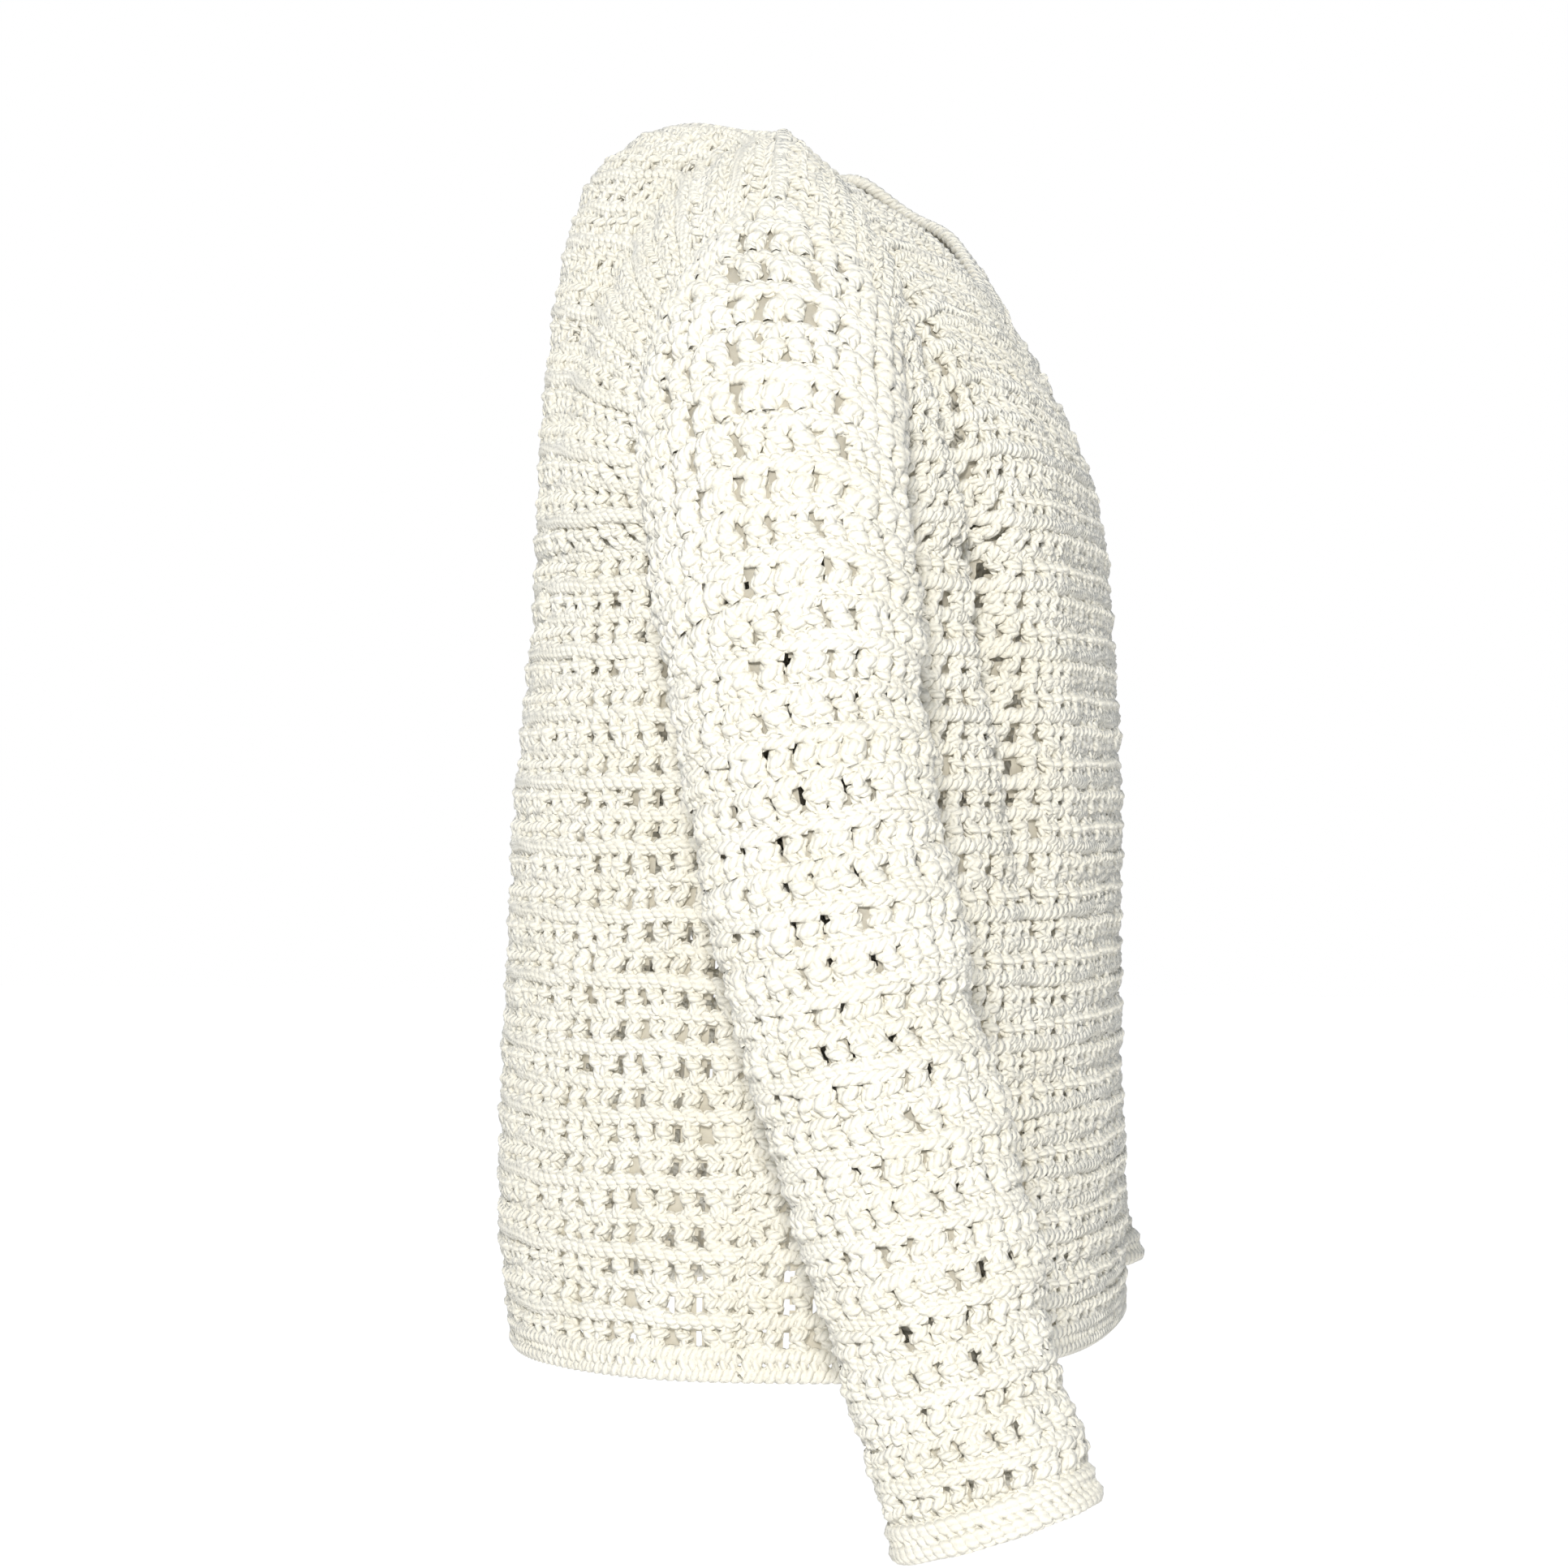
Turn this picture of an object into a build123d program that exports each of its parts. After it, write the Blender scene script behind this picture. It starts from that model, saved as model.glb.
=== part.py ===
"""Chunky crocheted long-sleeve pullover, in the shape it keeps on a body form.

Frame: +Z up, the wearer faces -Y, the wearer's right side is -X.
The origin is the middle of the neck opening, at shoulder height.
Every piece is a length of crocheted fabric with its real thickness.
"""
from build123d import *
from math import cos, pi, radians, sin
import os

# ---- driving dimensions, mm ----
WALL = 6.0               # crocheted fabric thickness
HEM_Z = -596.0           # bottom edge of the body
HEM_BAND = 12.0          # tight border worked round the hem
HEM_PROUD = 0.6          # the border stands out from the panels
UNDERARM_Z = -218.0      # where the armhole starts
SHOULDER_TIP_Z = -62.0   # top of the armhole
HALF_WIDTH_HEM = 232.0
HALF_WIDTH_CHEST = 226.0
ROUNDNESS = 0.83         # below 1 makes the body rings squarer than an ellipse
SEAM_Y_HEM = -4.0        # side seam, front to back, at the hem
SEAM_Y_CHEST = -20.0     # and at the underarm
ARMHOLE_BULGE = 54.0     # half depth of the armhole
NECK_CENTRE_Y = -5.0
NECK_A = 108.0           # half width of the neck opening, to the middle of its border
NECK_B = 83.0            # half depth of the neck opening
NECK_BAND = 10.0         # width of the neck border
SEAM = 5.0               # width of a joining seam
ARMHOLE_SEAM = 5.0       # how far the armhole seam stands out
SLEEVE_GAP = 0.6         # armhole seam to sleeve
CUFF_BAND = 14.0         # chunky border at the cuff
CUFF_FLARE = 2.0         # the border stands out this much
BIG = 400.0              # reach of the cutting blocks

# centre lines (Y, Z): below the underarm, then up to inside the neck
BACK_LOW = [(140, -596), (147, -532), (145, -460), (140, -340), (132, -260), (129, -218)]
BACK_TOP = [(129, -218), (126, -180), (124, -120), (121, -60), (111, -20), (86, -1), (62, 1)]
FRONT_LOW = [(-150, -596), (-151, -532), (-148, -460), (-148, -340), (-144, -260), (-141, -218)]
FRONT_TOP = [(-141, -218), (-138, -196), (-131, -164), (-120, -140), (-109, -120), (-97, -100),
             (-86, -82), (-58, -45)]

# shoulder line, then a line inside the neck opening: (X, Y, Z)
SHOULDER = [(226, -20, -62), (205, -17, -45), (160, -10, -24), (108, -5, -6)]
INSIDE_BACK = [(85, 28, -2), (50, 52, 0), (0, 62, 1)]
INSIDE_FRONT = [(60, -35, -22), (0, -58, -45)]

# right sleeve sections, as if on the +X side:
# inner (X, Z), outer (X, Z), centre Y, half depth, forward lean in degrees
SLEEVE = [
    ((232, -222), (262, -85), -22, 57, 0),
    ((236, -232), (292, -118), -24, 58, 3),
    ((238, -252), (312, -172), -29, 57, 6),
    ((239, -287), (322, -245), -36, 55, 9),
    ((241, -340), (327, -325), -46, 53, 12),
    ((242, -408), (328, -408), -61, 52, 12),
    ((243, -479), (327, -479), -80, 50, 14),
    ((245, -549), (327, -549), -100, 48, 16),
    ((247, -600), (327, -600), -113, 44, 18),
    ((247, -636), (327, -636), -124, 44, 18),
]
SLEEVE_START_Z = -140.0
SLEEVE_START_Y = -20.0
SLEEVE_START_HALF_HEIGHT = 78.0
BEND_ROWS = 3            # sections before this one turn the sleeve from sideways to down
PUSHED_FROM_Z = -287.0   # below this the left sleeve sits pushed up a little
PUSHED_LENGTH = 0.862    # its length below there, against the right one's
PUSHED_SWING = 0.60      # and how far it swings forward


def along(points, t):
    """Smooth curve through the points; t runs 0..1 by chord length."""
    n = len(points)
    size = range(len(points[0]))
    knots = [0.0]
    for p, q in zip(points, points[1:]):
        knots.append(knots[-1] + sum((q[i] - p[i]) ** 2 for i in size) ** 0.5)
    s = min(max(t, 0.0), 1.0) * knots[-1]
    k = 0
    while k < n - 2 and s > knots[k + 1]:
        k += 1

    def slope(j):
        a = max(j - 1, 0)
        b = min(j + 1, n - 1)
        return [(points[b][i] - points[a][i]) / (knots[b] - knots[a]) for i in size]

    span = knots[k + 1] - knots[k]
    x = (s - knots[k]) / span
    m0 = slope(k)
    m1 = slope(k + 1)
    h00 = 2 * x**3 - 3 * x**2 + 1
    h10 = x**3 - 2 * x**2 + x
    h01 = 3 * x**2 - 2 * x**3
    h11 = x**3 - x**2
    return [
        h00 * points[k][i] + h10 * span * m0[i] + h01 * points[k + 1][i] + h11 * span * m1[i]
        for i in size
    ]


def smooth(t):
    return t * t * (3 - 2 * t)


def side(v):
    """Half width and side-seam Y of the body at height z, from hem to underarm."""
    f = smooth(v)
    half = HALF_WIDTH_HEM + (HALF_WIDTH_CHEST - HALF_WIDTH_HEM) * f
    return half, SEAM_Y_HEM + (SEAM_Y_CHEST - SEAM_Y_HEM) * f


def low_point(front, u, v):
    """Body surface below the underarm. u: 0 side seam, 1 centre; v: 0 hem, 1 underarm."""
    y_mid, z = along(FRONT_LOW if front else BACK_LOW, v)
    half, seam_y = side((z - HEM_Z) / (UNDERARM_Z - HEM_Z))
    angle = pi / 2 * u
    x = half * max(cos(angle), 0.0) ** ROUNDNESS
    y = seam_y + (y_mid - seam_y) * sin(angle) ** ROUNDNESS
    return x, y, z


def armhole(front, t):
    """Armhole rim from underarm (0) to shoulder tip (1)."""
    bulge = ARMHOLE_BULGE * max(4 * t * (1 - t), 0.0) ** 0.75
    y = SEAM_Y_CHEST - bulge if front else SEAM_Y_CHEST + bulge
    return HALF_WIDTH_CHEST, y, UNDERARM_Z + (SHOULDER_TIP_Z - UNDERARM_Z) * t


def top_point(front, u):
    """Shoulder line, carried on inside the neck opening."""
    x = HALF_WIDTH_CHEST * (1 - u)
    line = SHOULDER + (INSIDE_FRONT if front else INSIDE_BACK)
    low = 0.0
    high = 1.0
    for _ in range(40):
        mid = (low + high) / 2
        if along(line, mid)[0] > x:
            low = mid
        else:
            high = mid
    p = along(line, low)
    return x, p[1], p[2]


def high_point(front, u, v):
    """Body surface above the underarm, blended between its four edges."""
    w = smooth(v)
    h = (1 - w) * sin(pi / 2 * u) ** ROUNDNESS + w * u
    rim = armhole(front, v)
    y_mid, z_mid = along(FRONT_TOP if front else BACK_TOP, v)
    mid = (0.0, y_mid, z_mid)
    bottom = low_point(front, u, 1.0)
    bottom_side = armhole(front, 0.0)
    bottom_mid = low_point(front, 1.0, 1.0)
    top = top_point(front, u)
    top_side = SHOULDER[0]
    top_mid = (INSIDE_FRONT if front else INSIDE_BACK)[-1]
    out = []
    for i in range(3):
        plain = (1 - h) * rim[i] + h * mid[i]
        low = bottom[i] - (1 - h) * bottom_side[i] - h * bottom_mid[i]
        high = top[i] - (1 - h) * top_side[i] - h * top_mid[i]
        out.append(plain + (1 - w) * low + w * high)
    return out


def surface(front, u, v):
    """Outer skin. u: 0 side, 1 centre; v: 0 hem, 1 underarm, 2 shoulder."""
    p = low_point(front, u, v) if v < 1 else high_point(front, u, v - 1)
    return Vector(*p)


def inner(front, u, v):
    """The same point on the inside of the fabric."""
    d = 0.004
    p = surface(front, u, v)
    across = surface(front, min(u + d, 1.0), v) - surface(front, max(u - d, 0.0), v)
    up = surface(front, u, min(v + d, 2.0)) - surface(front, u, max(v - d, 0.0))
    if u >= 1.0:
        across = Vector(-1, 0, 0)
    if u <= 0.0 and v <= 1.0:
        across = Vector(0, -1 if front else 1, 0)
    way = across.cross(up).normalized()
    return p + way * (WALL if front else -WALL)


def skin(front, point, columns=14, low_rows=8, high_rows=10):
    """Smooth face through rows of points, right side to left side."""
    rows = []
    for j in range(low_rows + high_rows + 1):
        v = j / low_rows if j < low_rows else 1 + (j - low_rows) / high_rows
        row = [point(front, i / columns, v) for i in range(columns + 1)]
        whole = [Vector(-p.X, p.Y, p.Z) for p in row] + list(reversed(row[:-1]))
        steps = [i / (2 * columns) for i in range(2 * columns + 1)]
        rows.append(Wire([Edge.make_spline(whole, parameters=steps)]))
    return Shell.make_loft(rows).faces()[0]


def panel_shell(front):
    """Full-thickness fabric between the outer and inner skins."""
    outer_face = skin(front, surface)
    inner_face = skin(front, inner)
    sides = []
    for edge in outer_face.edges():
        twin = min(inner_face.edges(), key=lambda e: (e.center() - edge.center()).length)
        sides.append(Face.make_surface_from_curves(edge, twin))
    solid = Solid(Shell([outer_face, inner_face] + sides))
    return solid.fix()


def prism(points, plane, start, amount):
    """Straight block from a closed outline drawn on XY or YZ."""
    if plane == "XY":
        outline = [Vector(a, b, start) for a, b in points]
        way = (0, 0, 1)
    else:
        outline = [Vector(start, a, b) for a, b in points]
        way = (1, 0, 0)
    return extrude(make_face(Polyline(*outline, close=True)), amount=amount, dir=way)


def seam_path():
    """Side-seam line (Y, Z) from just below the hem up to the underarm."""
    line = [(SEAM_Y_HEM, HEM_Z - 10)]
    for k in range(9):
        z = HEM_Z + (UNDERARM_Z - HEM_Z) * k / 8
        line.append((side(k / 8)[1], z))
    return line


def shoulder_path():
    """Shoulder line (X, Y) right across the body."""
    tip_y = SHOULDER[0][1]
    half = [(x, y) for x, y, _ in SHOULDER]
    line = [(BIG, tip_y)] + half
    return line + [(-x, y) for x, y in reversed(line)]


def behind(shift):
    """Everything behind the side seams and shoulder lines, moved back by shift."""
    low = [(y + shift, z) for y, z in seam_path()] + [(BIG, UNDERARM_Z), (BIG, HEM_Z - 10)]
    top = [(x, y + shift) for x, y in shoulder_path()] + [(-BIG, BIG), (BIG, BIG)]
    lower = prism(low, "YZ", -BIG, 2 * BIG)
    upper = prism(top, "XY", UNDERARM_Z, -UNDERARM_Z + 30)
    return lower + upper


def oval_column(grow):
    """Upright oval column through the neck opening."""
    oval = Ellipse(NECK_A + grow, NECK_B + grow)
    return extrude(Pos(0, NECK_CENTRE_Y, -150) * oval, amount=200)


def body_shell():
    """Front and back as one skin, trimmed flat at hem and armholes."""
    overlap = 0.4
    front = panel_shell(True) - behind(overlap)
    back = panel_shell(False) & behind(-overlap)
    shell = front + back
    height = -UNDERARM_Z
    width = 2 * HALF_WIDTH_CHEST - 0.1
    outside = Box(2 * BIG, BIG, height) - Box(width, BIG, height)
    shell -= Pos(0, 0, UNDERARM_Z + height / 2) * outside
    shell -= Pos(0, 0, HEM_Z) * Box(2 * BIG, 2 * BIG, 2 * HEM_BAND)
    return shell


def seam_strip():
    """Thin block that follows the seams, one seam wide."""
    return behind(-SEAM / 2) - behind(SEAM / 2)


def side_seam():
    """Joining seam from the hem border up to the armhole, on the +X side."""
    path = [(y, z) for y, z in seam_path() if z > HEM_Z + HEM_BAND]
    path.insert(0, (middle_y([(y, z) for y, z in seam_path()], HEM_Z + HEM_BAND), HEM_Z + HEM_BAND))
    rings = []
    for y, z in path:
        half = side((z - HEM_Z) / (UNDERARM_Z - HEM_Z))[0]
        ends = [(half - WALL, y - SEAM / 2), (half, y - SEAM / 2)]
        ends += [(half, y + SEAM / 2), (half - WALL, y + SEAM / 2)]
        rings.append(Polyline(*[Vector(x, q, z) for x, q in ends], close=True).wire())
    return Solid.make_loft(rings, ruled=True)


def middle_y(line, z):
    """Y of a centre line at height z."""
    low = 0.0
    high = 1.0
    for _ in range(40):
        t = (low + high) / 2
        if along(line, t)[1] < z:
            low = t
        else:
            high = t
    return along(line, low)[0]


def loop(points):
    """Closed smooth wire; every loop in a loft starts at the same place."""
    steps = [i / len(points) for i in range(len(points) + 1)]
    return Wire([Edge.make_spline(points, periodic=True, parameters=steps)])


def hem_ring(z, inset, count=60):
    """Level closed curve round the hem, inset from the outer skin."""
    half, seam_y = side((z - HEM_Z) / (UNDERARM_Z - HEM_Z))
    points = []
    for i in range(count):
        angle = 2 * pi * i / count
        c = cos(angle)
        s = sin(angle)
        reach = middle_y(BACK_LOW if s > 0 else FRONT_LOW, z) - seam_y
        reach = max(abs(reach) - inset, 1.0) * (1 if s > 0 else -1)
        x = (half - inset) * abs(c) ** ROUNDNESS * (1 if c > 0 else -1)
        points.append(Vector(x, seam_y + reach * abs(s) ** ROUNDNESS, z))
    return loop(points)


def hem_edging():
    """Tight border worked round the bottom, slightly proud of the panels."""
    low = HEM_Z
    top = HEM_Z + HEM_BAND
    mid = (low + top) / 2
    outer = Solid.make_loft([hem_ring(z, -HEM_PROUD) for z in (low, mid, top)])
    hole = Solid.make_loft([hem_ring(z, WALL) for z in (low - 2, mid, top + 2)])
    return outer - hole


def sleeve_start(x, inset, count=28):
    """Closed curve of the armhole, in an upright plane."""
    points = []
    for i in range(count):
        angle = 2 * pi * i / count
        s = sin(angle)
        y = (ARMHOLE_BULGE - inset) * abs(s) ** 1.5 * (1 if s > 0 else -1)
        z = SLEEVE_START_Z - (SLEEVE_START_HALF_HEIGHT - inset) * cos(angle)
        points.append(Vector(x, SLEEVE_START_Y + y, z))
    return loop(points)


def sleeve_ring(row, inset, shift=0.0, count=28):
    """Closed curve round the sleeve, shifted along the sleeve's length."""
    (x_in, z_in), (x_out, z_out), y_mid, depth, lean = row
    tilt = radians(lean)
    middle = Vector((x_in + x_out) / 2, y_mid, (z_in + z_out) / 2)
    middle += Vector(0, -sin(tilt), -cos(tilt)) * shift
    across = Vector(x_out - x_in, 0, z_out - z_in) / 2
    across -= across.normalized() * inset
    back = Vector(0, cos(tilt), -sin(tilt)) * (depth - inset)
    points = []
    for i in range(count):
        angle = 2 * pi * i / count
        points.append(middle - across * cos(angle) + back * sin(angle))
    return loop(points)


def pushed_up(row):
    """The same section of sleeve where the left one hangs shorter and straighter."""
    (x_in, z_in), (x_out, z_out), y_mid, depth, lean = row
    if z_in >= PUSHED_FROM_Z:
        return row
    turn_y = -36.0
    z_in = PUSHED_FROM_Z + (z_in - PUSHED_FROM_Z) * PUSHED_LENGTH
    z_out = PUSHED_FROM_Z + (z_out - PUSHED_FROM_Z) * PUSHED_LENGTH
    y_mid = turn_y + (y_mid - turn_y) * PUSHED_SWING
    return (x_in, z_in), (x_out, z_out), y_mid, depth, lean * PUSHED_SWING


def sleeve_tube(rows, start, inset, extra):
    """Outside or inside of the sleeve, as a shoulder bend and a hanging length."""
    rings = [sleeve_start(start - extra, inset)]
    rings += [sleeve_ring(row, inset) for row in rows[:-1]]
    rings.append(sleeve_ring(rows[-1], inset, extra))
    return Solid.make_loft(rings[:BEND_ROWS + 1]), Solid.make_loft(rings[BEND_ROWS:])


def sleeve_cloth(rows):
    """Sleeve fabric from the armhole seam to the cuff border."""
    start = HALF_WIDTH_CHEST + ARMHOLE_SEAM + SLEEVE_GAP
    bend, length = sleeve_tube(rows, start, 0.0, 0.0)
    bend_hole, length_hole = sleeve_tube(rows, start, WALL, 3.0)
    return (bend - bend_hole) + (length - length_hole)


def sleeve_seam_block(rows):
    """Thin block along the underside of the sleeve, facing the body."""
    path = [(SLEEVE_START_Y, SLEEVE_START_Z - 60)]
    path.append((SLEEVE_START_Y, SLEEVE_START_Z - SLEEVE_START_HALF_HEIGHT))
    path += [(row[2], row[0][1]) for row in rows]
    path.append((rows[-1][2] - 12, rows[-1][0][1] - 30))
    rear = [(y + SEAM / 2, z) for y, z in path]
    front = [(y - SEAM / 2, z) for y, z in reversed(path)]
    return prism(rear + front, "YZ", HALF_WIDTH_CHEST, 32)


def sleeve(rows):
    """Sleeve cloth, its seam and its cuff border, on the +X side."""
    cloth = sleeve_cloth(rows)
    block = sleeve_seam_block(rows)
    end = rows[-1]
    rim = [sleeve_ring(end, -CUFF_FLARE / 2), sleeve_ring(end, -CUFF_FLARE, CUFF_BAND)]
    bore = [sleeve_ring(end, WALL, -3.0), sleeve_ring(end, WALL, CUFF_BAND + 3.0)]
    outer = Solid.make_loft(rim)
    hole = Solid.make_loft(bore)
    return cloth - block, cloth & block, outer - hole


def left_armhole_seam():
    """Raised seam round the armhole, on the +X side."""
    root = HALF_WIDTH_CHEST - 0.05
    end = HALF_WIDTH_CHEST + ARMHOLE_SEAM
    outer = Solid.make_loft([sleeve_start(root, 0.0), sleeve_start(end, 0.0)])
    hole = Solid.make_loft([sleeve_start(root - 2, WALL), sleeve_start(end + 2, WALL)])
    return outer - hole


def write(shape, name):
    """One closed solid per file; shavings left by the cuts are dropped."""
    piece = max(shape.solids(), key=lambda s: s.volume)
    export_step(piece, "parts/" + name + ".step")


def torso_parts():
    """The body cut into panels, seams, neck border and hem border."""
    shell = body_shell()
    neck_zone = oval_column(NECK_BAND / 2)
    neck = (shell & neck_zone) - oval_column(-NECK_BAND / 2)
    cloth = shell - neck_zone
    strip = seam_strip()
    panels = (cloth - strip).solids().sort_by(Axis.Y)
    seams = (cloth & strip).solids()
    upper = seams.filter_by(lambda s: s.center().Z > UNDERARM_Z).sort_by(Axis.X)
    write(panels[0], "front_panel")
    write(panels[-1], "back_panel")
    write(upper[0], "shoulder_seam_right")
    write(upper[-1], "shoulder_seam_left")
    seam = side_seam()
    write(seam, "side_seam_left")
    write(mirror(seam, about=Plane.YZ), "side_seam_right")
    write(neck, "neck_edging")
    write(hem_edging(), "hem_edging")


def main():
    os.makedirs("parts", exist_ok=True)
    torso_parts()
    ring = left_armhole_seam()
    write(ring, "armhole_seam_left")
    write(mirror(ring, about=Plane.YZ), "armhole_seam_right")
    names = ("{}_sleeve", "sleeve_seam_{}", "{}_cuff_edging")
    for piece, name in zip(sleeve(SLEEVE), names):
        write(mirror(piece, about=Plane.YZ), name.format("right"))
    for piece, name in zip(sleeve([pushed_up(row) for row in SLEEVE]), names):
        write(piece, name.format("left"))


if __name__ == "__main__":
    main()
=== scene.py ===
"""A chunky crocheted pullover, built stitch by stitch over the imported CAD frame."""
import math

import bpy
import numpy as np
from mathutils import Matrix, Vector


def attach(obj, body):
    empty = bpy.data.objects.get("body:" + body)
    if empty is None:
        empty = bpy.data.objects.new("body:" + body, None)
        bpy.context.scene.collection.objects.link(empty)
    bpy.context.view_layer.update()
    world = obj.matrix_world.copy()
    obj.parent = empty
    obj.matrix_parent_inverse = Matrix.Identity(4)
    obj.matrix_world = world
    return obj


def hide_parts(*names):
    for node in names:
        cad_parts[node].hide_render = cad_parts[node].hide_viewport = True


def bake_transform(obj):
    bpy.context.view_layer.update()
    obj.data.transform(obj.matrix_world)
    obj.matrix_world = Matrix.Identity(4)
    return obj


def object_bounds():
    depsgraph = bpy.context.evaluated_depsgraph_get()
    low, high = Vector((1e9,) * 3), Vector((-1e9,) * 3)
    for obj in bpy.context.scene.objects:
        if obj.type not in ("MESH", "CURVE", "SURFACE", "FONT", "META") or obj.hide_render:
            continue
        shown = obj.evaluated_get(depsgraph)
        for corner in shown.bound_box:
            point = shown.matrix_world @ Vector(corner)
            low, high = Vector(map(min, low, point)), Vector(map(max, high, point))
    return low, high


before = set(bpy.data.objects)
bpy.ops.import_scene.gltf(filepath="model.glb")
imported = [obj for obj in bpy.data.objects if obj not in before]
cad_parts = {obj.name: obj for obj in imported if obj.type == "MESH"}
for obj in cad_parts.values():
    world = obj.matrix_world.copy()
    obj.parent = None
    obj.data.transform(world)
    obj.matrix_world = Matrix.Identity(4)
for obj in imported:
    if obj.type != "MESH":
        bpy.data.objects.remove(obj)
cad_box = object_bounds()

MM = 0.001

# ---- the CAD model's dimensions, mm ----
HEM_Z = -596.0
HEM_BAND = 12.0
UNDERARM_Z = -218.0
SHOULDER_TIP_Z = -62.0
HALF_WIDTH_HEM = 232.0
HALF_WIDTH_CHEST = 226.0
ROUNDNESS = 0.83
SEAM_Y_HEM = -4.0
SEAM_Y_CHEST = -20.0
ARMHOLE_BULGE = 54.0
NECK_CENTRE_Y = -5.0
NECK_A = 108.0
NECK_B = 83.0
ARMHOLE_SEAM = 5.0
BACK_LOW = [(140, -596), (147, -532), (145, -460), (140, -340), (132, -260), (129, -218)]
BACK_TOP = [(129, -218), (126, -180), (124, -120), (121, -60), (111, -20), (86, -1), (62, 1)]
FRONT_LOW = [(-150, -596), (-151, -532), (-148, -460), (-148, -340), (-144, -260), (-141, -218)]
FRONT_TOP = [(-141, -218), (-138, -196), (-131, -164), (-120, -140), (-109, -120), (-97, -100),
             (-86, -82), (-58, -45)]
SHOULDER = [(226, -20, -62), (205, -17, -45), (160, -10, -24), (108, -5, -6)]
INSIDE_BACK = [(85, 28, -2), (50, 52, 0), (0, 62, 1)]
INSIDE_FRONT = [(60, -35, -22), (0, -58, -45)]
# sleeve sections: inner (x, z), outer (x, z), middle y, half depth, lean in degrees
SLEEVE = [
    ((232, -222), (262, -85), -22, 57, 0),
    ((236, -232), (292, -118), -24, 58, 3),
    ((238, -252), (312, -172), -29, 57, 6),
    ((239, -287), (322, -245), -36, 55, 9),
    ((241, -340), (327, -325), -46, 53, 12),
    ((242, -408), (328, -408), -61, 52, 12),
    ((243, -479), (327, -479), -80, 50, 14),
    ((245, -549), (327, -549), -100, 48, 16),
    ((247, -600), (327, -600), -113, 44, 18),
    ((247, -636), (327, -636), -124, 44, 18),
]
SLEEVE_START_Z = -140.0
SLEEVE_START_HALF_HEIGHT = 78.0

# ---- how the left sleeve sits pushed up the arm ----
PUSHED_FROM_Z = -287.0   # below this the sections move up
PUSHED_FROM_Y = -36.0    # middle of the section at that height
PUSHED_LENGTH = 0.862    # share of the length that is left
PUSHED_SWING = 0.60      # share of the forward swing that is left

# ---- how it is crocheted, mm ----
POSTS = 57               # stitches across a panel
LOW_ROWS = 24            # rows from the hem border to the underarm
TOP_ROWS = {True: 13, False: 14}   # rows above the underarm, front and back
SLEEVE_POSTS = 30
SLEEVE_ROWS = 32
NECK_POSTS = 60
HEM_POSTS = 120
CUFF_POSTS = 26
PANEL_BAND = 7           # rows in one mesh of stitches
SLEEVE_BAND = 11
GROUP = 3                # posts that lean together
FOOT = np.array([0.80, 1.14, 2.47])    # where the posts of a group start, in stitches
HEAD = np.array([0.42, 1.52, 2.50])    # and where they end
SLEEVE_FULL = 1.34       # thickness of the sleeve's yarn against the body's
SLEEVE_SPREAD = 4.9      # half length of the loop at the foot of a post
PANEL_SPREAD = 3.6
STRAND = 2.35            # radius of one strand of yarn
TWIST = 1.60             # how far the strands of a stitch stand from its middle
MIDDLE = -3.2            # middle of the fabric, below the CAD skin
FINE_ROW = 6             # cells of the ground sheet, per stitch
FINE_COL = 4
SIDES = 6                # flat sides of a strand
JOIN_STEP = 9.5          # length of one chain of a joining seam
DENSE = 400              # points on a curve that is measured

# ---- yarn colours ----
WOOL = ((0.80, 0.775, 0.685), (0.84, 0.82, 0.745))
# core sheet colours: darker and warmer than the yarn as painted shade deep between the stitches; the two
# vary at random
WOOL_CORE_PAINTED_SHADE = ((0.72, 0.68, 0.58), (0.76, 0.72, 0.62))
# painted shade, multiplied into the wool where the fibre bump dips
WOOL_SHADE = (0.86, 0.84, 0.80, 1)
WOOL_GLOW = (0.93, 0.87, 0.72, 1)

# ---- camera and lights, metres and watts ----
CAMERA_AIM = Vector((0.0, 0.0168, -0.326))
CAMERA_DISTANCE = 2.2
CAMERA_YAW = 10.0
LIGHTS_AIM = Vector((0, 0, -0.3))
LIGHTS = (                # name, place, power, size, colour
    ("key", (-2.9, -0.32, 0.6), 83, 0.5, (1.0, 0.98, 0.93)),
    ("fill", (-2.0, -2.2, 0.2), 1.5, 1.8, (1.0, 0.97, 0.93)),
    ("top", (-0.4, 0.4, 1.9), 11, 1.0, (1.0, 1.0, 1.0)),
    ("far", (2.4, -0.6, 0.6), 10, 2.0, (0.95, 0.97, 1.0)),
)
FLOOR_GAP = 0.06

# ---- the flat size of each sheet, metres ----
FRONT_FLAT = (0.62, 0.60)
BACK_FLAT = (0.62, 0.62)
SLEEVE_FLAT = (0.40, 0.53)


def word_of(side):
    return "right" if side < 0 else "left"


# ---------------------------------------------------------------- surfaces

def along(points, t):
    """Smooth curve through the points; t runs 0..1 by chord length."""
    p = np.asarray(points, float)
    knots = np.r_[0, np.cumsum(np.linalg.norm(np.diff(p, axis=0), axis=1))]
    n = len(p)
    lo = np.maximum(np.arange(n) - 1, 0)
    hi = np.minimum(np.arange(n) + 1, n - 1)
    slope = (p[hi] - p[lo]) / (knots[hi] - knots[lo])[:, None]
    s = np.clip(np.atleast_1d(t), 0, 1) * knots[-1]
    k = np.clip(np.searchsorted(knots, s, side="right") - 1, 0, n - 2)
    span = (knots[k + 1] - knots[k])[:, None]
    x = (s - knots[k])[:, None] / span
    return (
        (2 * x**3 - 3 * x**2 + 1) * p[k] + (x**3 - 2 * x**2 + x) * span * slope[k]
        + (3 * x**2 - 2 * x**3) * p[k + 1] + (x**3 - x**2) * span * slope[k + 1]
    )


def smooth(t):
    """0 to 1 with soft ends."""
    t = np.clip(t, 0, 1)
    return t * t * (3 - 2 * t)


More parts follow.
